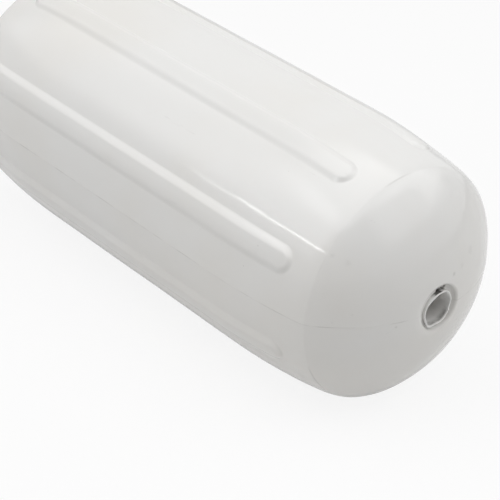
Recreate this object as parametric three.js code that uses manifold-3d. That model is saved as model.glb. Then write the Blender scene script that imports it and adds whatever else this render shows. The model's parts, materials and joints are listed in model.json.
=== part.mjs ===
// Inflatable boat fender of the common 8.5 x 20.5 in size, lying on its side.
// A ribbed vinyl cylinder with domed ends and a rope tube through the middle.
// Millimetres. X runs along the fender, +Z is up, and the origin is under the
// middle of the fender, on the ground. The needle valve is in the dome at -X.

import * as THREE from 'three';
import { mergeVertices } from 'three/addons/utils/BufferGeometryUtils.js';
import Module from 'manifold-3d';

// Body
const barrelDiameter = 214;
const fenderLength = 524;       // between the tops of the two domes, mouths not counted
const crownRadius = 133;        // shallow dome of each end
const domeEdgeRadius = 50;      // bend from the dome to the crease round it
const creaseRadius = 6;
const creaseFrom = THREE.MathUtils.degToRad(21);
const creaseTo = THREE.MathUtils.degToRad(34);
const shoulderRadius = 52;      // bend from the crease to the barrel's taper
const taperRadius = 513;        // gentle draw-in before the shoulder
const taperAngle = THREE.MathUtils.degToRad(9.3);

// Flat that the soft wall takes where the fender lies on the ground
const restFlatDepth = 0.8;

// Ribs
const ribCount = 8;
const ribWidth = 22;            // across the foot
const ribHeight = 2.8;
const ribSetback = 66;          // from the end of the fender to the rib's end
const ribFlankWidth = 3.4;      // steep side of the rib, from its foot to its crown
const ribCrownRise = 0.22;      // share of the height that the crown's arch adds
const ribEdgeRounding = 0.2;    // softness of the edge between side and crown
const ribRoot = 1;              // depth of its foot inside the body's wall

// Rope tube and the countersunk mouth round each of its ends
const tubeBore = 25;
const tubeWall = 1.8;
const tubeSetback = 1.4;        // rim behind the top of the dome
const mouthDiameter = 38;
const mouthLipRadius = 2.4;
const mouthDepth = 3.8;         // floor of the groove below the top of the dome
const mouthFloorWidth = 0.8;
const rimChamfer = 0.5;
const clearance = 0.3;          // between pieces that touch

// Needle valve in the far dome
const valveOffset = 52;         // from the axis of the fender
const valveHeadDiameter = 15;
const valveHeadHeight = 1.8;
const valveHeadStand = 0.9;     // how far the head stands out of the dome
const valveStemDiameter = 8;
const valveStemLength = 14;
const valveTipChamfer = 1;
const needleHoleDiameter = 2.2;
const needleHoleDepth = 9;
const needleFunnelDiameter = 4.6;

// Facets
const roundSegments = 72;
const crownSteps = 7;
const domeEdgeSteps = 2;
const creaseSteps = 2;
const shoulderSteps = 2;
const taperSteps = 4;
const smallRoundSegments = 24;
const ribEndSteps = 8;
const ribTaperSteps = 3;
const ribLevels = [0, 0.16, 0.28, 0.47, 1]; // shares of the half width

const barrelRadius = barrelDiameter / 2;
const tubeRadius = tubeBore / 2 + tubeWall;
const bodyBoreRadius = tubeRadius + clearance;
const halfLength = fenderLength / 2;
const axisHeight = barrelRadius - restFlatDepth;

const wasm = await Module();
wasm.setup();

// A point on an arc, its angle measured from the radial direction towards the end
function arcPoint(centre, radius, angle) {
  return new THREE.Vector2(
    centre.x + radius * Math.cos(angle),
    centre.y + radius * Math.sin(angle),
  );
}

// Outline of the end from the barrel to the axis, as tangent arcs in the plane of
// radius (x) and distance towards the end (y), with the start of the taper at y = 0.
function endArcs() {
  const arcs = [];
  const after = (previous, radius, to, steps) => {
    const from = previous.to;
    const centre = arcPoint(previous.centre, previous.radius - radius, from);
    arcs.push({ centre, radius, from, to, steps });
    return arcs.at(-1);
  };
  const barrel = { centre: new THREE.Vector2(0, 0), radius: barrelRadius, to: 0 };
  const taper = after(barrel, taperRadius, taperAngle, taperSteps);
  const shoulder = after(taper, shoulderRadius, creaseFrom, shoulderSteps);
  const crease = after(shoulder, creaseRadius, creaseTo, creaseSteps);
  const domeEdge = after(crease, domeEdgeRadius, Math.PI / 2, domeEdgeSteps);
  domeEdge.to = Math.acos(domeEdge.centre.x / (crownRadius - domeEdgeRadius));
  after(domeEdge, crownRadius, Math.PI / 2, crownSteps);
  return arcs;
}

const endOutline = endArcs();
const crown = endOutline.at(-1);
const taperStart = halfLength - crown.centre.y - crownRadius;

// Radius of the body, without ribs, at a distance x from the middle
function bodyRadius(x) {
  const y = Math.abs(x) - taperStart;
  if (y <= 0) return barrelRadius;
  const arc = endOutline.find((each) => {
    return y <= arcPoint(each.centre, each.radius, each.to).y || each === crown;
  });
  return arc.centre.x + Math.sqrt(Math.max(arc.radius ** 2 - (y - arc.centre.y) ** 2, 0));
}

// Slope angle of the body's surface at x: 0 on the barrel, positive towards +X
function bodySlope(x) {
  const step = 0.5;
  return Math.atan2(bodyRadius(x - step) - bodyRadius(x + step), 2 * step);
}

// Angle on the crown at which its surface is at a given radius from the axis
function crownAngleAt(radius) {
  return Math.acos(radius / crownRadius);
}

// Distance of the crown's surface from the middle of the fender, at a given radius
function crownHeightAt(radius) {
  const angle = crownAngleAt(radius);
  return taperStart + arcPoint(crown.centre, crownRadius, angle).y;
}

// The points of an arc after its first, which is the last of the arc before it
function arcPoints(arc, to = arc.to) {
  const points = [];
  for (let step = 1; step <= arc.steps; step += 1) {
    const angle = THREE.MathUtils.lerp(arc.from, to, step / arc.steps);
    points.push(arcPoint(arc.centre, arc.radius, angle));
  }
  return points;
}

// Half outline of the body, from the middle of the barrel to the bore at +X
function halfOutline() {
  const lipRadius = mouthDiameter / 2 + mouthLipRadius;
  const outer = [
    new THREE.Vector2(barrelRadius, 0),
    ...endOutline.slice(0, -1).flatMap((arc) => arcPoints(arc)),
    ...arcPoints(crown, crownAngleAt(lipRadius)),
  ].map((point) => new THREE.Vector2(point.x, point.y + taperStart));

  // The dome rolls over a small lip into the groove round the tube
  const lipHeight = crownHeightAt(lipRadius);
  const floorRadius = bodyBoreRadius + mouthFloorWidth;
  const lip = new THREE.QuadraticBezierCurve(
    new THREE.Vector2(lipRadius, lipHeight),
    new THREE.Vector2(mouthDiameter / 2, crownHeightAt(mouthDiameter / 2)),
    new THREE.Vector2(
      mouthDiameter / 2 - mouthLipRadius,
      crownHeightAt(mouthDiameter / 2) - mouthLipRadius,
    ),
  );
  const mouth = lip.getPoints(3).slice(1);
  mouth.push(new THREE.Vector2(floorRadius, halfLength - mouthDepth));
  mouth.push(new THREE.Vector2(bodyBoreRadius, halfLength - mouthDepth));
  return [...outer, ...mouth];
}

// A turned solid about the X axis, from a closed outline of (radius, x) points
function turned(outline, segments) {
  const closed = [...outline, outline[0].clone()];
  const geometry = new THREE.LatheGeometry(closed, segments);
  geometry.rotateZ(-Math.PI / 2);
  return geometry;
}

function toSolid(geometry) {
  const bare = geometry.index ? geometry.toNonIndexed() : geometry.clone();
  bare.deleteAttribute('normal');
  bare.deleteAttribute('uv');
  const merged = mergeVertices(bare, 1e-4);
  const triangles = [];
  const index = merged.index.array;
  for (let corner = 0; corner < index.length; corner += 3) {
    const [a, b, c] = index.slice(corner, corner + 3);
    if (a !== b && b !== c && c !== a) triangles.push(a, b, c);
  }
  return new wasm.Manifold(new wasm.Mesh({
    numProp: 3,
    vertProperties: new Float32Array(merged.attributes.position.array),
    triVerts: new Uint32Array(triangles),
  }));
}

function toGeometry(solid) {
  const mesh = solid.getMesh();
  const geometry = new THREE.BufferGeometry();
  geometry.setAttribute('position', new THREE.BufferAttribute(mesh.vertProperties, 3));
  geometry.setIndex(new THREE.BufferAttribute(mesh.triVerts, 1));
  geometry.computeVertexNormals();
  return geometry;
}

// Plan outline of a rib as a ring of (along, across) points, drawn in by an inset.
// The barrel needs no stations along it; the curved ends of the rib's seat do.
function ribRing(inset) {
  const halfWidth = ribWidth / 2;
  const straight = halfLength - ribSetback - halfWidth;
  const seatStart = Math.min(taperStart, straight / 2);
  const stations = [];
  for (let step = 1; step <= ribTaperSteps; step += 1) {
    stations.push(THREE.MathUtils.lerp(straight, seatStart, step / ribTaperSteps));
  }
  const along = [...stations, ...stations.map((station) => -station).reverse()];
  const radius = halfWidth - inset;
  const ring = [];
  for (const side of [1, -1]) {
    for (let step = 0; step <= ribEndSteps; step += 1) {
      const angle = Math.PI * (step / ribEndSteps - 0.5);
      ring.push([side * (straight + radius * Math.cos(angle)), side * radius * Math.sin(angle)]);
    }
    along.forEach((station) => ring.push([side * station, side * radius]));
  }
  return ring;
}

// Height of the rib's section at a distance in from its foot: a steep side, then a
// low arched crown, joined by a smooth minimum of the two
function ribSection(inset) {
  const side = inset / ribFlankWidth;
  const arch = 1 - ribCrownRise * (1 - inset / (ribWidth / 2)) ** 2;
  const blend = Math.max(ribEdgeRounding - Math.abs(side - arch), 0) / ribEdgeRounding;
  return ribHeight * (Math.min(side, arch) - blend ** 2 * ribEdgeRounding / 4);
}

// A rib lies on the body's own surface. Rings of its outline, each drawn in further,
// are lifted by the height of the section there and close on the rib's ridge line.
function ribGeometry(azimuth) {
  const halfWidth = ribWidth / 2;
  const levels = [
    [1, -ribRoot],
    [0, -ribRoot],
    ...ribLevels.map((share) => [share, ribSection(halfWidth * share)]),
  ];
  const positions = [];
  for (const [share, height] of levels) {
    for (const [along, across] of ribRing(halfWidth * share)) {
      const slope = bodySlope(along);
      const radius = bodyRadius(along) + height * Math.cos(slope);
      const angle = azimuth + across / barrelRadius;
      positions.push(
        along + height * Math.sin(slope),
        radius * Math.sin(angle),
        radius * Math.cos(angle),
      );
    }
  }
  const ringSize = positions.length / 3 / levels.length;
  const triangles = [];
  for (let level = 0; level < levels.length - 1; level += 1) {
    for (let corner = 0; corner < ringSize; corner += 1) {
      const a = level * ringSize + corner;
      const b = level * ringSize + (corner + 1) % ringSize;
      triangles.push(a, b, b + ringSize, a, b + ringSize, a + ringSize);
    }
  }
  const geometry = new THREE.BufferGeometry();
  geometry.setAttribute('position', new THREE.Float32BufferAttribute(positions, 3));
  geometry.setIndex(triangles);
  return geometry;
}

// Turned outline of the valve, from the axis at its tip to the axis at its head.
// Its y = 0 is the seat under the head.
function valveOutline() {
  const stemRadius = valveStemDiameter / 2;
  const headRadius = valveHeadDiameter / 2;
  const edge = valveHeadHeight / 2;
  const funnelDepth = (needleFunnelDiameter - needleHoleDiameter) / 2;
  const outline = [
    [0, -valveStemLength],
    [stemRadius - valveTipChamfer, -valveStemLength],
    [stemRadius, valveTipChamfer - valveStemLength],
    [stemRadius, 0],
    [headRadius, 0],
    [headRadius, valveHeadHeight - edge],
  ];
  for (let step = 1; step <= 3; step += 1) {
    const angle = step * Math.PI / 6;
    outline.push([
      headRadius - edge * (1 - Math.cos(angle)),
      valveHeadHeight - edge * (1 - Math.sin(angle)),
    ]);
  }
  outline.push([needleFunnelDiameter / 2, valveHeadHeight]);
  outline.push([needleHoleDiameter / 2, valveHeadHeight - funnelDepth]);
  outline.push([needleHoleDiameter / 2, valveHeadHeight - needleHoleDepth]);
  outline.push([0, valveHeadHeight - needleHoleDepth]);
  return outline.map(([radius, y]) => new THREE.Vector2(radius, y));
}

// What is cut from the dome for the valve: its head's seat and its stem's hole
function valvePocketOutline() {
  const stemRadius = valveStemDiameter / 2 + clearance;
  const headRadius = valveHeadDiameter / 2 + clearance;
  const aboveDome = valveHeadHeight + headRadius;
  return [
    new THREE.Vector2(0, -valveStemLength - clearance),
    new THREE.Vector2(stemRadius, -valveStemLength - clearance),
    new THREE.Vector2(stemRadius, -clearance),
    new THREE.Vector2(headRadius, -clearance),
    new THREE.Vector2(headRadius, aboveDome),
    new THREE.Vector2(0, aboveDome),
  ];
}

// The valve stands square to the far dome, above the rope tube
const valveAngle = crownAngleAt(valveOffset);
const valveAxis = new THREE.Vector3(-Math.sin(valveAngle), 0, Math.cos(valveAngle));
const valveSeat = new THREE.Vector3(-crownHeightAt(valveOffset), 0, valveOffset)
  .addScaledVector(valveAxis, valveHeadStand - valveHeadHeight);
const valveTurn = new THREE.Quaternion()
  .setFromUnitVectors(new THREE.Vector3(0, 1, 0), valveAxis);

// The body: its turned shell, the ribs round it, less the valve's pocket and the
// sliver below the ground, which leaves the flat that it rests on
function bodyGeometry() {
  const half = halfOutline();
  const mirrored = half.map((point) => new THREE.Vector2(point.x, -point.y)).reverse();
  let solid = toSolid(turned([...half, ...mirrored], roundSegments));
  for (let rib = 0; rib < ribCount; rib += 1) {
    solid = solid.add(toSolid(ribGeometry((rib + 0.5) * 2 * Math.PI / ribCount)));
  }
  const pocket = new THREE.LatheGeometry(valvePocketOutline(), smallRoundSegments);
  pocket.applyQuaternion(valveTurn);
  pocket.translate(valveSeat.x, valveSeat.y, valveSeat.z);
  solid = solid.subtract(toSolid(pocket));
  const ground = new THREE.BoxGeometry(fenderLength * 2, barrelDiameter, barrelDiameter);
  ground.translate(0, 0, -axisHeight - barrelRadius);
  return toGeometry(solid.subtract(toSolid(ground)));
}

// The rope tube runs through the whole body and its trimmed rims stand in the mouths
function ropeTubeGeometry() {
  const halfTube = halfLength - tubeSetback;
  const outline = [
    [tubeBore / 2, halfTube - rimChamfer],
    [tubeBore / 2 + rimChamfer, halfTube],
    [tubeRadius - rimChamfer, halfTube],
    [tubeRadius, halfTube - rimChamfer],
  ].map(([radius, x]) => new THREE.Vector2(radius, x));
  const mirrored = outline.map((point) => new THREE.Vector2(point.x, -point.y)).reverse();
  return turned([...outline, ...mirrored].reverse(), smallRoundSegments * 2);
}

function piece(name, geometry, color, roughness) {
  const material = new THREE.MeshStandardMaterial({ color, roughness, metalness: 0 });
  const mesh = new THREE.Mesh(geometry, material);
  mesh.name = name;
  return mesh;
}

const fender = new THREE.Group();
fender.position.z = axisHeight;
fender.add(piece('body', bodyGeometry(), 0xe8e7e3, 0.32));
fender.add(piece('rope_tube', ropeTubeGeometry(), 0xdad9d5, 0.4));

const valve = new THREE.LatheGeometry(valveOutline(), smallRoundSegments);
const needleValve = piece('needle_valve', valve, 0x4a4b4d, 0.6);
needleValve.quaternion.copy(valveTurn);
needleValve.position.copy(valveSeat);
fender.add(needleValve);

export default fender;
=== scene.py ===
import json
import math
import bpy
from mathutils import Matrix, Vector, noise

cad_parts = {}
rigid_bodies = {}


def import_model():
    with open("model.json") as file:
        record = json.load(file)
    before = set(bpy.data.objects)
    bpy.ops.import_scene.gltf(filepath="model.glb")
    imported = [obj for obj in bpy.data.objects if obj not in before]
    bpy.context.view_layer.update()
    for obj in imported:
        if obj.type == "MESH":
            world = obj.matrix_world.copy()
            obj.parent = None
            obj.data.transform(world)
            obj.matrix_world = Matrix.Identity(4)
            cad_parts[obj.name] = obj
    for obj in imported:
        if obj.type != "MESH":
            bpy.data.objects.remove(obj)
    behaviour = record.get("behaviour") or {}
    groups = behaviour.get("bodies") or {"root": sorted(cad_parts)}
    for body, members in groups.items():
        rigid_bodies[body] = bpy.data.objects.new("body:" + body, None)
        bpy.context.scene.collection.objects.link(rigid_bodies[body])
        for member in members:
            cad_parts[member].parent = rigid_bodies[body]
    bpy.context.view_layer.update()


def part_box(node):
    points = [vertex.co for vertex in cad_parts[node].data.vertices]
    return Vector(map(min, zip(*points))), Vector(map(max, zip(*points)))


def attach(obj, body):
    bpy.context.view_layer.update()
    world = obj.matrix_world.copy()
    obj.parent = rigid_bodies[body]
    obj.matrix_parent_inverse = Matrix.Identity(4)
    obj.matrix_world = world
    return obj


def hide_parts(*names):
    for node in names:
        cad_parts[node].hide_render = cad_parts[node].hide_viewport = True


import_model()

bodyLow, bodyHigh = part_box("body")
tubeLow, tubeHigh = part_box("rope_tube")
barrelRadius = (bodyHigh.y - bodyLow.y) / 2
axisHeight = bodyHigh.z - barrelRadius       # of the fender's axis above the ground
tubeRadius = (tubeHigh.y - tubeLow.y) / 2
rimX = tubeHigh.x                            # the trimmed rims of the rope tube


def deselectAll():                      # an operator acts on all that is selected
    active = bpy.context.view_layer.objects.active
    if active and active.mode != "OBJECT":
        bpy.ops.object.mode_set(mode="OBJECT")
    bpy.ops.object.select_all(action="DESELECT")


def makeActive(piece):
    deselectAll()
    piece.select_set(True)
    bpy.context.view_layer.objects.active = piece


def applyModifier(piece, kind, **settings):
    makeActive(piece)
    modifier = piece.modifiers.new(kind.lower(), kind)
    for name, value in settings.items():
        setattr(modifier, name, value)
    bpy.ops.object.modifier_apply(modifier=modifier.name)


def selectVertices(piece, wanted):      # by place, then into edit mode
    makeActive(piece)
    bpy.ops.object.mode_set(mode="EDIT")
    bpy.ops.mesh.select_mode(type="VERT")
    bpy.ops.mesh.select_all(action="DESELECT")
    bpy.ops.object.mode_set(mode="OBJECT")
    for vertex in piece.data.vertices:
        vertex.select = wanted(vertex.co)
    bpy.ops.object.mode_set(mode="EDIT")


def drawProfile(name, profile):         # a chain of vertices above the axis, left in edit mode
    deselectAll()
    bpy.ops.mesh.primitive_plane_add(size=0.01)
    piece = bpy.context.object
    piece.name = name
    bpy.ops.object.mode_set(mode="EDIT")
    bpy.ops.mesh.select_mode(type="VERT")
    bpy.ops.mesh.select_all(action="SELECT")
    bpy.ops.mesh.merge(type="CENTER")
    x, radius = profile[0]
    bpy.ops.transform.translate(value=(x, 0, axisHeight + radius))
    for nextX, nextRadius in profile[1:]:
        step = (nextX - x, 0, nextRadius - radius)
        bpy.ops.mesh.extrude_vertices_move(TRANSFORM_OT_translate={"value": step})
        x, radius = nextX, nextRadius
    bpy.ops.mesh.select_all(action="SELECT")
    return piece


def spinAbout(sectors, centre=(0, 0, axisHeight), axis=(-1, 0, 0)):
    for steps, angle in sectors:        # each goes on from the last profile of the one before
        bpy.ops.mesh.spin(steps=steps, angle=math.radians(angle), center=centre, axis=axis)
    bpy.ops.mesh.select_all(action="SELECT")
    bpy.ops.mesh.remove_doubles(threshold=1e-6)


def finishMesh(piece):
    bpy.ops.mesh.select_all(action="SELECT")
    bpy.ops.mesh.normals_make_consistent(inside=False)
    bpy.ops.object.mode_set(mode="OBJECT")
    bpy.ops.object.shade_smooth()
    bpy.ops.object.transform_apply(location=True, rotation=True, scale=True)
    piece.data.materials.clear()


def weighVertices(piece, name, weigh):  # a vertex group from a rule on place
    group = piece.vertex_groups.new(name=name)
    for vertex in piece.data.vertices:
        weight = weigh(vertex.co)
        if weight > 0.0005:
            group.add([vertex.index], weight, "REPLACE")
    return group.name


def paintVertices(piece, name, weigh):  # the same as a number that the material reads
    layer = piece.data.attributes.new(name, "FLOAT", "POINT")
    layer.data.foreach_set("value", [weigh(vertex.co) for vertex in piece.data.vertices])


def azimuthOf(place):                   # 0 at the top, 90 on the camera's side
    return math.degrees(math.atan2(-place.y, place.z - axisHeight)) % 360


def radiusOf(place):
    return math.hypot(place.y, place.z - axisHeight)


def smooth(value, low, high):           # 0 up to low, 1 from high, with soft ends
    share = min(max((value - low) / (high - low), 0), 1)
    return share * share * (3 - 2 * share)


fender = {                   # metres and degrees
    "halfLength": 0.262,     # to the top of a dome
    "crownRadius": 0.133,
    "taperRadius": 0.513,
    "taperAngle": 9.3,
    "shoulderRadius": 0.052, # on the barrel's side of the crease round the end
    "creaseFrom": 21.0,
    "creaseTo": 34.0,
    "creaseRadius": 0.006,
    "domeEdgeRadius": 0.050, # on the dome's side of it
    "profileSteps": (0.012, 0.006, 0.0007, 0.0022),   # barrel, taper, ribs' ends, rest of the taper
    "arcSteps": (6, 6, 7, 18),                        # shoulder, crease, dome's edge, crown
    "ribs": 8,
    "ribWidth": 0.0243,
    "ribHeight": 0.0028,
    "ribSetback": 0.0655,
    "ribFlank": 0.0071,      # from a rib's foot to the edge of its crown
    "ribEndFlank": 0.0045,   # the same at its rounded ends, which are steeper
    "ribFoot": 0.75,         # under 1, a flank is steepest near its foot
    "ribCrown": 0.22,        # share of the height that the crown's arch adds
    "ribMargin": 0.0012,     # finely divided strip beside a rib's foot
    "ribSteps": 34,          # faces across a rib
    "marginSteps": 2,
    "plainSteps": 5,         # half the way from one rib to the next
    "topSteps": 30,          # the same beside the fender's top line, for the split in the mouth
    "seamHeight": 0.00015,   # flash left on the parting line
    "seamHalfWidth": 0.0007,
    "seamFades": (0.035, 0.06),      # distances from the axis, towards the mouth
    "seamBreaks": 45,                # how often it is interrupted
    "rippleHeight": 0.0005,
    "rippleSize": 0.06,
    "lipRadius": 0.0235,     # of the mouth round the tube, where the dome starts to roll in
    "lipReach": 0.0012,      # how round the lip is
    "lipSteps": 10,
    "wallRadius": 0.0166,
    "wallDepth": 0.0033,     # below the top of the dome
    "grooveDepth": 0.0043,
    "grooveSteps": 4,
    "boreGap": 0.0003,
    "mouthWider": 0.0016,    # the near mouth is wider than round, and less so on the camera's side
    "mouthWiderSide": 0.0019,
    "mouthWiderTop": 0.0007,
    "flareRadius": 0.0172,   # the widening fades from here to the lip
    "grooveUneven": 0.45,    # how much shallower its groove is on the camera's side
    "shadeAndDirtRadius": 0.0175,   # painted shade and soiling lie in the groove up to here, darkest on the side given below
    "darkestAt": 235,
    "tearDepth": 0.007,
    "tearEdge": 0.0003,
    "tear": [                # outline of the split, towards the camera's side and up
        (0.0006, 0.0115), (0.0021, 0.0160), (-0.0002, 0.0153), (-0.0026, 0.0156),
        (-0.0054, 0.0158), (-0.0092, 0.0178), (-0.0074, 0.0140), (-0.0070, 0.0110),
    ],
}


def endArcs():      # tangent arcs: centre's radius and x, arc's radius, first and last angle
    angles = [math.radians(fender[name]) for name in ("taperAngle", "creaseFrom", "creaseTo")]
    radii = [fender[name] for name in ("taperRadius", "shoulderRadius", "creaseRadius")]
    height, x, first = barrelRadius, 0, 0
    arcs = []
    for radius, last in zip(radii, angles):
        centre = height - radius * math.cos(first), x - radius * math.sin(first)
        arcs.append([*centre, radius, first, last])
        x, height = arcPoint(arcs[-1], last)
        first = last
    edge = fender["domeEdgeRadius"]
    centre = height - edge * math.cos(first), x - edge * math.sin(first)
    last = math.acos(centre[0] / (fender["crownRadius"] - edge))
    arcs.append([*centre, edge, first, last])
    crownX = arcPoint(arcs[-1], last)[0] - fender["crownRadius"] * math.sin(last)
    arcs.append([0, crownX, fender["crownRadius"], last, math.pi / 2])
    start = fender["halfLength"] - fender["crownRadius"] - crownX
    for arc in arcs:
        arc[1] += start
    return arcs


def arcPoint(arc, angle):
    height, x, radius = arc[:3]
    return x + radius * math.sin(angle), height + radius * math.cos(angle)


def arcPoints(arc, first, last, steps):
    return [arcPoint(arc, first + (last - first) * step / steps) for step in range(1, steps + 1)]


def taperAngleAt(arc, x):
    return math.asin((x - arc[1]) / arc[2])


def lipOf(crown):
    return arcPoint(crown, math.acos(fender["lipRadius"] / crown[2]))


def mouthPoints(crown):                 # from the lip over the wall to the groove's floor
    lipX, lipRadius = lipOf(crown)
    top, wallRadius = fender["halfLength"], fender["wallRadius"]
    wall = (top - fender["wallDepth"], wallRadius)
    corner = (lipX + (lipRadius - wallRadius) * 0.1, wallRadius + fender["lipReach"])
    points = []
    for step in range(1, fender["lipSteps"] + 1):
        share = step / fender["lipSteps"]
        points.append([
            (1 - share) ** 2 * first + 2 * share * (1 - share) * middle + share ** 2 * last
            for first, middle, last in zip((lipX, lipRadius), corner, wall)
        ])
    boreRadius = tubeRadius + fender["boreGap"]
    floorX = top - fender["grooveDepth"]
    for step in reversed(range(fender["grooveSteps"])):
        share = step / fender["grooveSteps"]
        points.append([floorX, boreRadius + (wallRadius - boreRadius) * share])
    return points


def bodyProfile():
    taper, shoulder, crease, edge, crown = endArcs()
    ribEnd = fender["halfLength"] - fender["ribSetback"]
    roundStart = ribEnd - fender["ribWidth"] * 0.65     # just before a rib's end becomes round
    roundStop = ribEnd + fender["ribMargin"]
    corners = [0, taper[1], roundStart, roundStop, taper[1] + taper[2] * math.sin(taper[4])]
    stations = []
    for first, last, step in zip(corners, corners[1:], fender["profileSteps"]):
        stations += spaced(first, last, step)
    half = [(x, barrelRadius if x < taper[1] else arcPoint(taper, taperAngleAt(taper, x))[1])
            for x in stations]
    half.append(arcPoint(taper, taper[4]))
    lipAngle = math.acos(fender["lipRadius"] / crown[2])
    for arc, steps in zip((shoulder, crease, edge, crown), fender["arcSteps"]):
        half += arcPoints(arc, arc[3], min(arc[4], lipAngle), steps)
    half += mouthPoints(crown)
    return [(-x, radius) for x, radius in reversed(half)] + half[1:]


def spaced(first, last, step):          # from first, included, to last, left out
    count = max(1, round((last - first) / step))
    return [first + (last - first) * each / count for each in range(count)]


def bodySectors():                      # fine over the ribs, the parting line and the tear at the top
    pitch = 360 / fender["ribs"]
    ribZone = math.degrees(fender["ribWidth"] / barrelRadius)
    margin = math.degrees(fender["ribMargin"] / barrelRadius)
    seamZone = math.degrees(fender["seamHalfWidth"] / barrelRadius)
    gap = (pitch - ribZone) / 2 - margin
    seams = [fender["ribs"] // 4, fender["ribs"] * 3 // 4]
    seamSteps = 3
    beside = (fender["marginSteps"], margin)
    sectors = []
    for rib in range(fender["ribs"]):
        before, after = rib in seams, rib + 1 in seams
        steps = fender["plainSteps" if rib else "topSteps"]
        nextSteps = fender["plainSteps" if rib + 1 < fender["ribs"] else "topSteps"]
        if before:
            sectors.append((seamSteps, seamZone))
        sectors.append((steps, gap - seamZone * before))
        sectors += [beside, (fender["ribSteps"], ribZone), beside]
        sectors.append((nextSteps, gap - seamZone * after))
        if after:
            sectors.append((seamSteps, seamZone))
    return sectors


def ribWeight(place):                   # how high a rib stands at a place, 1 on its crown
    pitch = 360 / fender["ribs"]
    halfWidth = fender["ribWidth"] / 2
    spine = fender["halfLength"] - fender["ribSetback"] - halfWidth
    beyond = max(abs(place.x) - spine, 0)
    across = math.radians(azimuthOf(place) % pitch - pitch / 2) * barrelRadius
    away = math.hypot(across, beyond)
    if away >= halfWidth:
        return 0
    inside = halfWidth - away
    flank = fender["ribFlank"]
    if beyond:
        flank += (fender["ribEndFlank"] - flank) * beyond / away
    crown = 1 - fender["ribCrown"] * (away / halfWidth) ** 2
    return smooth(min(inside / flank, 1) ** fender["ribFoot"], 0, 1) * crown


def seamWeight(place):                  # the parting line, broken here and there
    across = abs(place.z - axisHeight)
    if across > fender["seamHalfWidth"]:
        return 0
    fade = smooth(radiusOf(place), *fender["seamFades"])
    spot = noise.noise(Vector((place.x * fender["seamBreaks"], math.copysign(7, place.y), 0)))
    return (1 - across / fender["seamHalfWidth"]) * fade * smooth(spot, -0.4, 0.1)


def distanceInside(outline, x, y):      # of a point from an outline's nearest side
    inside, nearest = False, 1.0
    for (x1, y1), (x2, y2) in zip(outline, outline[1:] + outline[:1]):
        share = ((x - x1) * (x2 - x1) + (y - y1) * (y2 - y1)) / ((x2 - x1) ** 2 + (y2 - y1) ** 2)
        share = min(max(share, 0), 1)
        nearest = min(nearest, math.hypot(x1 + share * (x2 - x1) - x, y1 + share * (y2 - y1) - y))
        if (y1 > y) != (y2 > y) and x < x1 + (y - y1) / (y2 - y1) * (x2 - x1):
            inside = not inside
    return nearest if inside else -nearest


def tearWeight(place):                  # a split between the mouth's wall and the tube
    if place.x < 0 or radiusOf(place) > fender["lipRadius"]:
        return 0
    deep = distanceInside(fender["tear"], -place.y, place.z - axisHeight)
    return smooth(deep, -fender["tearEdge"], fender["tearEdge"])


def shapeMouth(place, lipX):            # the near mouth isn't round
    radius = radiusOf(place)
    if place.x < 0 or radius > fender["lipRadius"]:
        return place
    azimuth = math.radians(azimuthOf(place))
    wider = (fender["mouthWider"] - fender["mouthWiderSide"] * math.sin(azimuth)
             + fender["mouthWiderTop"] * math.cos(azimuth))
    bore = tubeRadius + fender["boreGap"]
    felt = smooth(radius, bore, fender["wallRadius"])
    felt *= 1 - smooth(radius, fender["flareRadius"], fender["lipRadius"])
    scale = 1 + wider * felt / radius
    deep = max(lipX - place.x, 0) * fender["grooveUneven"] * math.sin(azimuth)
    return Vector((place.x + deep, place.y * scale, axisHeight + (place.z - axisHeight) * scale))


def grooveShadeAndDirtWeight(place):
    # painted shade, with some dirt, in the groove round the tube, darkest on one side
    radius, soft = fender["shadeAndDirtRadius"], 0.001
    if abs(place.x) < fender["halfLength"] - 0.02:      # the bore, behind the tube
        return 0
    side = 0.5 + 0.5 * math.cos(math.radians(azimuthOf(place) - fender["darkestAt"]))
    return (1 - smooth(radiusOf(place), radius - soft, radius + soft)) * (0.3 + 0.7 * side)


def makeBody():
    piece = drawProfile("body_shell", bodyProfile())
    spinAbout(bodySectors())
    bpy.ops.mesh.select_all(action="DESELECT")
    bpy.ops.mesh.select_non_manifold()
    bpy.ops.mesh.bridge_edge_loops()    # the bore's wall, behind the rope tube
    finishMesh(piece)
    # the groove's painted shade and dirt, for the material
    paintVertices(piece, "groove", grooveShadeAndDirtWeight)
    lipX = lipOf(endArcs()[-1])[0]
    for vertex in piece.data.vertices:
        vertex.co = shapeMouth(vertex.co, lipX)
    ripple = bpy.data.textures.new("ripple", "CLOUDS")
    ripple.noise_scale = fender["rippleSize"]
    ripple.noise_depth = 1
    applyModifier(piece, "DISPLACE", texture=ripple, texture_coords="LOCAL",
                  strength=fender["rippleHeight"], mid_level=0.5)
    for name, weigh, height in (
        ("ribs", ribWeight, fender["ribHeight"]),
        ("seam", seamWeight, fender["seamHeight"]),
    ):
        group = weighVertices(piece, name, weigh)
        applyModifier(piece, "DISPLACE", vertex_group=group, strength=height, mid_level=0)
    # the split's weight also sets its painted shade
    paintVertices(piece, "tear", tearWeight)
    group = weighVertices(piece, "split", tearWeight)
    applyModifier(piece, "DISPLACE", vertex_group=group, direction="X",
                  strength=-fender["tearDepth"], mid_level=0)
    selectVertices(piece, lambda place: place.z < 0)
    bpy.ops.transform.resize(value=(1, 1, 0), center_override=(0, 0, 0))   # the flat it lies on
    bpy.ops.object.mode_set(mode="OBJECT")
    sinkSeat(piece)
    return piece


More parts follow.
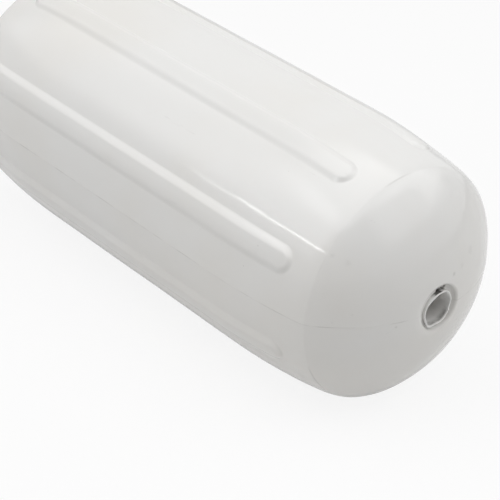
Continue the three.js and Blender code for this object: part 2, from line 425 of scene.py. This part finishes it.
tube = {
    "wall": 0.0013,
    "steps": 144,            # faces round it
    "rimBevel": 0.28,        # share of the wall that the rim's rounding takes
    "depths": [              # of its rings of vertices, from the rim to the middle
        0, 0.0006, 0.0014, 0.0026, 0.0045, 0.008, 0.014, 0.025, 0.06, 0.14,
    ],
    "rimReach": 0.004,       # how far from the rim its unevenness is felt
    "rimWaves": (1.6, 0.0005),       # how often and how far the cut wanders, in and out
    "rimChatter": (6, 0.0003),       # the same, finer
    "rimDents": (4, 0.0003),         # the same, towards the axis and away
    "corners": [             # azimuth, spread and push of the places where the cut rim isn't round
        (-36, 28, 0.0017), (-108, 20, -0.0014), (149, 16, 0.0016), (30, 40, -0.0011),
        (182, 14, -0.0008),
    ],
    "nick": (-111, 3.5, 0.0012),     # azimuth, spread and depth
    "burr": (-120, 2.5, 0.0006),
    "gap": (2, 15),          # azimuth and spread of the painted shade in the gap beside the split
    "gapShadeDepths": (0.0002, 0.0009),   # under the rim, where the gap's painted shade begins
    "gapShadeStrength": 1.6,
}


def makeTube():
    outer = tubeRadius
    inner = tubeRadius - tube["wall"]
    edge = tube["wall"] * tube["rimBevel"]
    nook = edge * 0.3                   # halfway round an edge, from its corner
    insideHalf = [(rimX - edge - depth, inner) for depth in reversed(tube["depths"])]
    rim = [(rimX - nook, inner + nook), (rimX, inner + edge),
           (rimX, outer - edge), (rimX - nook, outer - nook)]
    outsideHalf = [(rimX - edge - depth, outer) for depth in tube["depths"]]
    half = insideHalf + rim + outsideHalf
    profile = half + [(-x, radius) for x, radius in reversed(half)]
    piece = drawProfile("rope_tube_liner", profile + profile[:1])
    spinAbout([(tube["steps"], 360)])
    finishMesh(piece)
    # painted shade in the gap beside the split, for the material
    paintVertices(piece, "gap", gapShadeWeight)
    for vertex in piece.data.vertices:
        vertex.co = trimmedRim(vertex.co)
    return piece


def gapShadeWeight(place):                   # painted shade on the tube's outside, in the gap beside the split
    if place.x < 0 or radiusOf(place) < tubeRadius - tube["wall"] * 0.2:
        return 0
    azimuth, spread = tube["gap"]
    around = min(tube["gapShadeStrength"] * bump(azimuthOf(place), azimuth, spread), 1)
    return smooth(rimX - place.x, *tube["gapShadeDepths"]) * around


def trimmedRim(place):                  # the rim was cut by hand, so it wanders
    depth = rimX - abs(place.x)
    felt = math.exp(-max(depth, 0) / tube["rimReach"])
    azimuth = math.radians(azimuthOf(place))
    around = Vector((math.cos(azimuth), math.sin(azimuth), 2 * (place.x > 0)))
    lift, chatter, push = (noise.noise(around * turns) * size
                           for turns, size in (tube["rimWaves"], tube["rimChatter"], tube["rimDents"]))
    lift += chatter
    if place.x > 0:
        for centre, spread, height in tube["corners"]:
            push += height * bump(azimuthOf(place), centre, spread)
        centre, spread, deep = tube["nick"]
        lift -= deep * bump(azimuthOf(place), centre, spread)
        centre, spread, high = tube["burr"]
        lift += high * bump(azimuthOf(place), centre, spread)
    scale = 1 + felt * push / radiusOf(place)
    return Vector((
        place.x + math.copysign(felt * lift, place.x),
        place.y * scale,
        axisHeight + (place.z - axisHeight) * scale,
    ))


def bump(azimuth, centre, spread):      # 1 at the centre, fading on both sides of it
    away = (azimuth - centre + 180) % 360 - 180
    return math.exp(-(away / spread) ** 2)


valve = {                    # in the far dome, above the tube
    "offset": 0.052,         # from the fender's axis
    "stand": 0.0009,         # of the head out of the dome
    "headRadius": 0.0075,
    "headHeight": 0.0018,
    "headChamfer": 0.0002,
    "stemRadius": 0.004,
    "stemLength": 0.014,
    "stemChamfer": 0.001,
    "holeRadius": 0.0011,
    "funnelRadius": 0.0023,
    "funnelDepth": 0.0012,
    "holeDepth": 0.009,
    "pocketDepth": 0.016,    # of the shell under the head
}


def valveSeat():                        # the valve's place on the far dome, and the way out of it
    angle = math.acos(valve["offset"] / fender["crownRadius"])
    out = Vector((-math.sin(angle), 0, math.cos(angle)))
    centre = Vector((-endArcs()[-1][1], 0, axisHeight))
    return centre + out * fender["crownRadius"], out


def sinkSeat(piece):                    # the pocket in the shell that the valve sits in
    seat, out = valveSeat()
    selectVertices(piece, lambda place: (place - seat).length < valve["stemRadius"])
    bpy.ops.transform.translate(value=out * -valve["pocketDepth"])
    bpy.ops.mesh.select_more()
    bpy.ops.mesh.region_to_loop()
    bpy.ops.mesh.mark_sharp()
    bpy.ops.object.mode_set(mode="OBJECT")


def makeValve():
    head, top = valve["headRadius"], valve["headHeight"]
    stem, tip = valve["stemRadius"], -valve["stemLength"]
    hole, floor = valve["holeRadius"], top - valve["holeDepth"]
    edge, edgeSteps = top * 0.45, 6
    profile = [(tip, 0), (tip, stem - valve["stemChamfer"]), (tip + valve["stemChamfer"], stem),
               (0, stem), (0, head - valve["headChamfer"]), (valve["headChamfer"], head)]
    for step in range(edgeSteps + 1):
        angle = step / edgeSteps * math.pi / 2
        profile.append((top - edge + edge * math.sin(angle), head - edge + edge * math.cos(angle)))
    profile += [(top - 0.0001, valve["funnelRadius"] + 0.0008), (top - 0.0002, valve["funnelRadius"]),
                (top - valve["funnelDepth"], hole), (floor, hole), (floor, 0)]
    piece = drawProfile("needle_valve_plug", profile)
    spinAbout([(48, 360)])
    finishMesh(piece)
    seat, out = valveSeat()
    seat += out * (valve["stand"] - valve["headHeight"])
    turn = Vector((1, 0, 0)).rotation_difference(out).to_matrix().to_4x4()
    place = Matrix.Translation(seat) @ turn @ Matrix.Translation((0, 0, -axisHeight))
    piece.data.transform(place)
    return piece


bodyShell = makeBody()
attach(bodyShell, "root")
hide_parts("body")
print("body modelled:", len(bodyShell.data.polygons), "faces")

ropeTube = makeTube()
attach(ropeTube, "root")
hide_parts("rope_tube")

needleValve = makeValve()
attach(needleValve, "root")
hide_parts("needle_valve")
print("rope tube and valve modelled")


class Value:                 # a shader output that takes part in sums
    def __init__(self, tree, output):
        self.tree, self.output = tree, output

    def join(self, operation, first, second):
        return self.tree.add("ShaderNodeMath", {"operation": operation}, {0: first, 1: second})

    def __add__(self, other):
        return self.join("ADD", self, other)

    def __sub__(self, other):
        return self.join("SUBTRACT", self, other)

    def __rsub__(self, other):
        return self.join("SUBTRACT", other, self)

    def __mul__(self, other):
        return self.join("MULTIPLY", self, other)

    __radd__ = __add__
    __rmul__ = __mul__

    def least(self, other):
        return self.join("MINIMUM", self, other)

    def size(self):
        return self.join("ABSOLUTE", self, 0)

    def between(self, low, high):       # 0 at low and 1 at high, with soft ends
        return self.tree.add(
            "ShaderNodeMapRange", {"interpolation_type": "SMOOTHSTEP"},
            {"Value": self, "From Min": low, "From Max": high},
        )


class Tree:
    def __init__(self, owner):
        owner.use_nodes = True
        self.nodes = owner.node_tree.nodes
        self.links = owner.node_tree.links
        self.nodes.clear()

    def add(self, kind, settings=None, sockets=None, output=0):
        node = self.nodes.new(kind)
        for name, value in (settings or {}).items():
            setattr(node, name, value)
        for name, value in (sockets or {}).items():
            if isinstance(value, Value):
                self.links.new(value.output, node.inputs[name])
            else:
                node.inputs[name].default_value = value
        return None if output is None else Value(self, node.outputs[output])

    def finish(self, shader, kind="ShaderNodeOutputMaterial"):
        self.add(kind, {}, {0: shader}, None)

    def place(self):
        return self.add("ShaderNodeTexCoord", output="Object")

    def along(self, axis):
        return self.add("ShaderNodeSeparateXYZ", {}, {0: self.place()}, axis)

    def stretched(self, scale):
        return self.add("ShaderNodeMapping", {}, {"Vector": self.place(), "Scale": scale})

    def painted(self, name):            # a number stored on the vertices
        return self.add("ShaderNodeAttribute", {"attribute_name": name}, {}, "Fac")

    def dots(self, scale, core, edge):  # round spots, 1 in their middle
        sockets = {"Vector": self.place(), "Scale": scale}
        return 1 - self.add("ShaderNodeTexVoronoi", {}, sockets).between(core, edge)

    def bumped(self, height, strength, distance):
        sockets = {"Height": height, "Strength": strength, "Distance": distance}
        return self.add("ShaderNodeBump", {}, sockets)

    def noise(self, scale, detail=2, vector=None, roughness=0.5):
        sockets = {"Vector": vector or self.place(), "Scale": scale, "Detail": detail,
                   "Roughness": roughness}
        return self.add("ShaderNodeTexNoise", {}, sockets)

    def blend(self, share, first, second):
        return self.add("ShaderNodeMix", {"data_type": "RGBA"}, {0: share, 6: first, 7: second}, 2)


vinyl = {                    # the shell's finish
    "white": (0.80, 0.795, 0.78, 1),
    "warmWhite": (0.78, 0.765, 0.735, 1),
    "grimeAndShade": (0.42, 0.41, 0.39, 1),
    "splitShade": (0.09, 0.087, 0.083, 1),
    "roughness": 0.075,
    "cloudScale": 7,         # of the warmer and cooler patches
    "rippleScale": 28,
    "unevenScale": 110,
    "peelScale": 900,
    "seamDirt": 0.35,        # strengths of the marks
    "creaseShade": 0.3,
    "specks": 0.5,
    "scuffs": 0.12,
    "grooveShadeAndDirt": 0.5,
    "speckScale": 45,
    "scuffStretch": (30, 160, 420),
    "smudges": [             # place from the fender's middle, reach and strength
        ((0.2207, -0.0781, 0.0543), 0.0035, 0.16), ((0.2303, -0.0707, 0.0490), 0.005, 0.10),
        ((0.2587, 0.0152, 0.0248), 0.003, 0.35), ((0.2516, 0.0384, 0.0342), 0.006, 0.12),
        ((0.2564, 0.0257, 0.0278), 0.004, 0.14), ((0.2559, -0.0392, -0.0036), 0.0022, 0.3),
        ((0.1613, 0.0043, 0.1086), 0.0024, 0.45), ((0.1755, -0.0302, 0.1020), 0.0015, 0.4),
    ],
}


def bodyMarks(tree):                    # a soiled seam, painted shade along the crease, specks, scuffs and smudges
    seamLine = 1 - (tree.along(2) - axisHeight).size().between(0.0001, 0.0007)
    marks = seamLine * tree.noise(38, 3).between(0.42, 0.62) * vinyl["seamDirt"]
    # painted shade: a dark, broken line along the crease round each end
    crease = endArcs()[2]
    creaseX = arcPoint(crease, (crease[3] + crease[4]) / 2)[0]
    creaseLine = 1 - (tree.along(0).size() - creaseX).size().between(0.0002, 0.0009)
    marks = marks + creaseLine * tree.noise(14, 2).between(0.52, 0.62) * vinyl["creaseShade"]
    specks = tree.dots(vinyl["speckScale"], 0.012, 0.03)
    marks = marks + specks * tree.noise(20, 1).between(0.55, 0.6) * vinyl["specks"]
    scuffs = tree.noise(1, 4, tree.stretched(vinyl["scuffStretch"]), 0.65).between(0.66, 0.72)
    marks = marks + scuffs * tree.noise(18, 2).between(0.52, 0.62) * vinyl["scuffs"]
    for (x, y, z), reach, strength in vinyl["smudges"]:
        sockets = {0: tree.place(), 1: Vector((x, y, axisHeight + z))}
        away = tree.add("ShaderNodeVectorMath", {"operation": "DISTANCE"}, sockets, 1)
        away = away + tree.noise(260, 2) * reach
        marks = marks + (1 - away.between(reach * 0.5, reach * 1.3)) * strength
    return marks


def bodyVinyl():
    material = bpy.data.materials.new("body_vinyl")
    tree = Tree(material)
    cloud = tree.noise(vinyl["cloudScale"], 3).between(0.35, 0.7)
    marks = bodyMarks(tree)
    color = tree.blend(cloud, vinyl["white"], vinyl["warmWhite"])
    color = tree.blend(marks.least(1), color, vinyl["grimeAndShade"])
    # painted shade, with some dirt, in the groove round the tube
    color = tree.blend(tree.painted("groove") * vinyl["grooveShadeAndDirt"], color, vinyl["grimeAndShade"])
    # painted shade inside the split
    color = tree.blend(tree.painted("tear").between(0.1, 0.6), color, vinyl["splitShade"])
    roughness = tree.noise(40, 4).between(0.2, 0.9) * 0.03 + vinyl["roughness"] + marks * 0.3
    height = tree.noise(vinyl["rippleScale"], 2) + tree.noise(vinyl["unevenScale"], 1) * 0.1
    height = height + tree.noise(vinyl["peelScale"], 2) * 0.012
    shader = tree.add("ShaderNodeBsdfPrincipled", {}, {
        "Base Color": color, "Roughness": roughness, "Normal": tree.bumped(height, 0.25, 0.0006),
        "IOR": 1.5,
    })
    tree.finish(shader)
    return material


liner = {                    # the rope tube's finish
    "rim": (0.78, 0.775, 0.76, 1),
    "inside": (0.78, 0.77, 0.75, 1),
    "grain": (0.12, 0.115, 0.11, 1),
    "rimShade": (0.2, 0.195, 0.185, 1),
    "insideDepths": (-0.004, 0.012), # from the rim
    "rimShadeDepths": (0.0006, 0.0016, 0.0022, 0.0065),  # where the painted shade comes, is whole and is gone again
    "rimShadeDrop": (0.001, 0.009),      # only under the axis, towards the bottom
    "roughness": 0.35,
}


def tubeVinyl():
    material = bpy.data.materials.new("tube_vinyl")
    tree = Tree(material)
    depth = rimX - tree.along(0).size()
    deep = depth.between(*liner["insideDepths"])
    # painted shade: a dark, broken band just inside the rim, low in the tube
    start, whole, fade, stop = liner["rimShadeDepths"]
    rimShade = depth.between(start, whole) * (1 - depth.between(fade, stop))
    rimShade = rimShade * (axisHeight - tree.along(2)).between(*liner["rimShadeDrop"])
    rimShade = rimShade * (tree.noise(160, 3).between(0.3, 0.7) * 0.5 + 0.4)
    grains = tree.dots(190, 0.05, 0.13) * tree.noise(150, 1).between(0.5, 0.6) * deep * 0.7
    color = tree.blend(deep, liner["rim"], liner["inside"])
    color = tree.blend(rimShade, color, liner["rimShade"])
    color = tree.blend(grains.least(1), color, liner["grain"])
    # painted shade in the gap beside the split
    color = tree.blend(tree.painted("gap"), color, vinyl["splitShade"])
    shader = tree.add("ShaderNodeBsdfPrincipled", {}, {
        "Base Color": color, "Roughness": liner["roughness"],
        "Normal": tree.bumped(tree.noise(300, 4), 0.3, 0.0003),
    })
    tree.finish(shader)
    return material


rubber = {                   # the valve's finish
    "black": (0.05, 0.05, 0.053, 1),
    "worn": (0.085, 0.084, 0.085, 1),
    "roughness": 0.5,
}


def valveRubber():
    material = bpy.data.materials.new("valve_rubber")
    tree = Tree(material)
    color = tree.blend(tree.noise(400, 3).between(0.3, 0.7), rubber["black"], rubber["worn"])
    shader = tree.add("ShaderNodeBsdfPrincipled", {}, {
        "Base Color": color, "Roughness": tree.noise(120, 2) * 0.15 + rubber["roughness"],
        "Normal": tree.bumped(tree.noise(1500, 3), 0.3, 0.0001),
    })
    tree.finish(shader)
    return material


bodyShell.data.materials.append(bodyVinyl())
ropeTube.data.materials.append(tubeVinyl())
needleValve.data.materials.append(valveRubber())
print("materials set")


camera = {"place": (1.0141, -0.9050, 0.8392), "turn": (59.206, -3.872, 49.081), "lens": 132.9}

studio = {
    "floorSize": 14,
    "floorColor": (0.8, 0.8, 0.8, 1),
    "floorWhite": 0.88,      # share of plain white in what the camera sees of the floor
    "floorMirrored": 0.4,    # the same in the fender's gloss
    "worldLevel": 0.13,
    "lampFeather": 0.35,     # share of a lamp's width that its soft edges take
}

lights = {                   # place, aim, size and radiance
    "overhead": ((0.4, -0.2, 2.3), (0.4, -0.2, 0), (3.8, 3.6), 1.46),
    "leftSoftbox": ((-1.2, -1.3, 1.653), (0.1, 0, 0.11), (3.6, 1.9), 0.77),
    "leftUpper": ((-0.749, -1.47, 1.807), (0.1, 0, 0.11), (2.4, 1.6), 0.65),
    "rightSoftbox": ((1.649, 1.085, 1.588), (0.1, 0, 0.11), (3.6, 1.9), 0.9),
    "rightBack": ((0.899, 1.714, 1.588), (0.1, 0, 0.11), (1.8, 1.5), 0.9),
    "stripLight": ((-0.75, -2.0, 1.27), (-0.75, 0, 0.11), (2.4, 0.05), 12.0),
}


def makeCamera():
    bpy.ops.object.camera_add(location=camera["place"],
                              rotation=[math.radians(angle) for angle in camera["turn"]])
    eye = bpy.context.object
    eye.data.lens = camera["lens"]
    eye.data.sensor_width = 36
    eye.data.clip_end = 50
    bpy.context.scene.camera = eye


def makeFloor():
    bpy.ops.mesh.primitive_plane_add(size=studio["floorSize"])
    floor = bpy.context.object
    floor.name = "floor"
    material = bpy.data.materials.new("floor_white")
    tree = Tree(material)
    diffuse = tree.add("ShaderNodeBsdfDiffuse", {}, {"Color": studio["floorColor"]})
    white = tree.add("ShaderNodeEmission", {}, {"Strength": 1})
    share = floorShare(tree)
    tree.finish(tree.add("ShaderNodeMixShader", {}, {0: share, 1: diffuse, 2: white}))
    floor.data.materials.append(material)


def floorShare(tree):
    camera, glossy, transmission = seenBy(tree)
    return camera * studio["floorWhite"] + (glossy + transmission) * studio["floorMirrored"]


def seenBy(tree):                       # the camera, or the camera in or through the object
    return [tree.add("ShaderNodeLightPath", output="Is %s Ray" % kind)
            for kind in ("Camera", "Glossy", "Transmission")]


def makeWorld():
    world = bpy.data.worlds.new("studio")
    bpy.context.scene.world = world
    tree = Tree(world)
    camera, glossy, transmission = seenBy(tree)
    direct = (camera + glossy + transmission).least(1)
    level = direct * (1 - studio["worldLevel"]) + studio["worldLevel"]
    shade = tree.add("ShaderNodeBackground", {}, {"Color": (1, 1, 1, 1), "Strength": level})
    tree.finish(shade, "ShaderNodeOutputWorld")


def makeLights():
    for name, (place, aim, size, radiance) in lights.items():
        turn = (Vector(place) - Vector(aim)).to_track_quat("Z", "Y").to_euler()
        bpy.ops.object.light_add(type="AREA", location=place, rotation=turn)
        lamp = bpy.context.object
        lamp.name = name
        lamp.data.shape = "RECTANGLE"
        lamp.data.size, lamp.data.size_y = size
        lamp.data.energy = math.pi * size[0] * size[1] * radiance
        softenEdges(lamp.data)


def softenEdges(lamp):                  # a softbox is brightest in the middle
    tree = Tree(lamp)
    strength = 1
    for axis in (0, 1):
        across = tree.add("ShaderNodeNewGeometry", output="Parametric")
        across = tree.add("ShaderNodeSeparateXYZ", {}, {0: across}, axis)
        strength = (0.5 - (across - 0.5).size()).between(0, studio["lampFeather"] / 2) * strength
    tree.finish(tree.add("ShaderNodeEmission", {}, {"Strength": strength}), "ShaderNodeOutputLight")


deselectAll()
makeCamera()
makeFloor()
makeWorld()
makeLights()
bpy.context.scene.view_settings.view_transform = "Standard"
print("studio ready")
